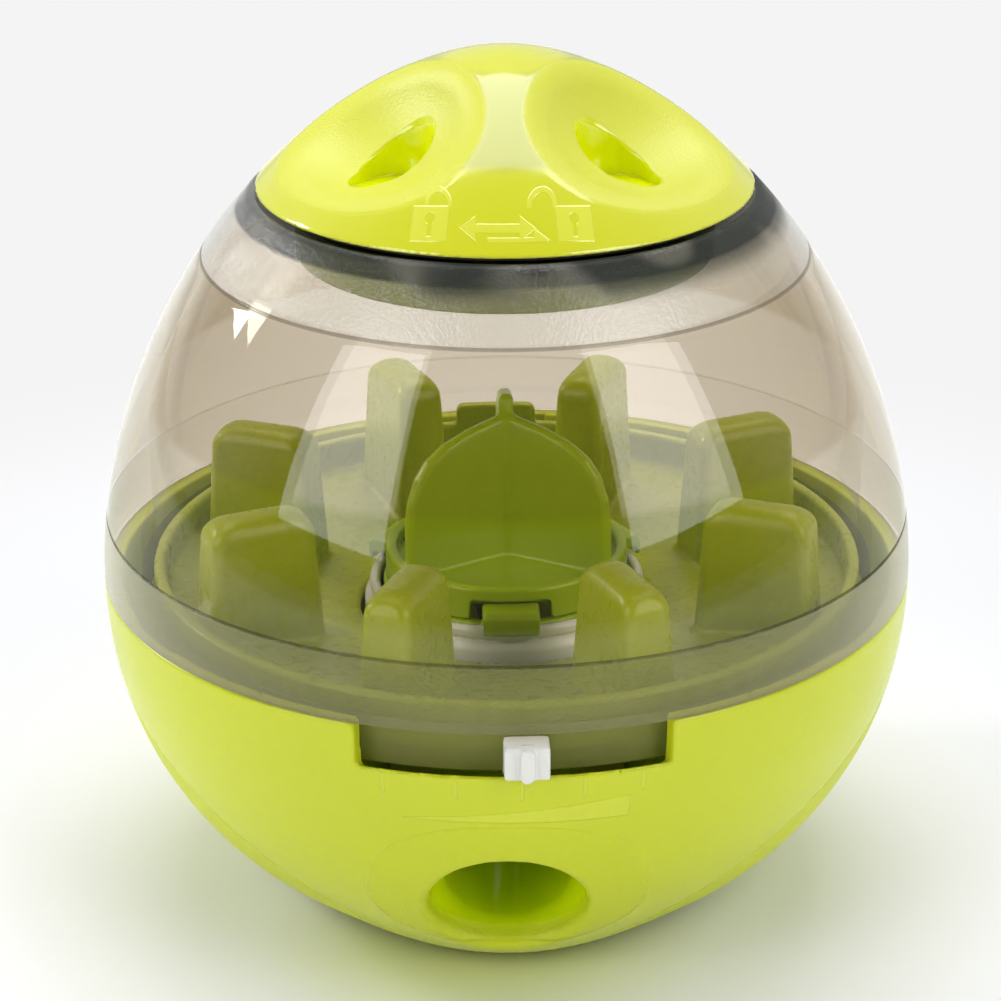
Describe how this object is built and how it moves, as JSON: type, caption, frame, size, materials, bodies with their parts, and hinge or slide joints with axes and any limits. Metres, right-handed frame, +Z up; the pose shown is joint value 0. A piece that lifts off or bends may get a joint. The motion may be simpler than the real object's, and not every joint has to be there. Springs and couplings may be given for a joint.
{
  "type": "treat dispensing ball",
  "caption": "Egg-shaped rocking treat dispenser: weighted base with an outlet chute, maze dish with posts, gate adjuster, smoke dome and twist-off cap.",
  "frame": {"origin": "centre of the flat foot, on the floor", "axes": "+Z up through the cap, -Y towards the outlet and the adjuster window, +X to the right of them"},
  "size_m": [0.106, 0.1082, 0.1109],
  "materials": {
    "base_lime": "gloss",
    "inner_lime": "gloss",
    "cap_lime": "gloss, matte in the finger scoops",
    "weight_steel": "turned",
    "screw_steel": "zinc plated",
    "adjuster_white": "satin",
    "dome_smoke": "clear smoke, frosted in two bands",
    "seal_rubber": "matte"
  },
  "bodies": {
    "base": {"base_shell": "base_lime", "counterweight": "weight_steel", "weight_screws": "screw_steel", "outlet_funnel": "base_lime", "funnel_screws": "screw_steel", "feed_hood": "inner_lime"},
    "adjuster": {"adjuster_ring": "adjuster_white"},
    "maze": {"maze_dish": "inner_lime"},
    "chamber": {"dome": "dome_smoke"},
    "seal": {"cap_seal": "seal_rubber"},
    "cap": {"cap_shell": "cap_lime", "cap_plug": "inner_lime", "cap_screws": "screw_steel"}
  },
  "joints": [
    {"name": "adjuster_turn", "type": "hinge", "parent": "base", "child": "adjuster", "pos_m": [0, 0, 0.036], "axis": [0, 0, 1], "range_deg": [-18, 15]},
    {"name": "chamber_lift", "type": "slide", "parent": "base", "child": "maze", "axis": [0, 0, 1], "range_m": [0, 0.045]},
    {"name": "dome_turn", "type": "hinge", "parent": "maze", "child": "chamber", "pos_m": [0, 0, 0.0425], "axis": [0, 0, 1], "range_deg": [0, 25]},
    {"name": "cap_lift", "type": "slide", "parent": "chamber", "child": "seal", "axis": [0, 0, 1], "range_m": [0, 0.03]},
    {"name": "cap_turn", "type": "hinge", "parent": "seal", "child": "cap", "pos_m": [0, 0, 0.0937], "axis": [0, 0, 1], "range_deg": [-36, 0]}
  ]
}
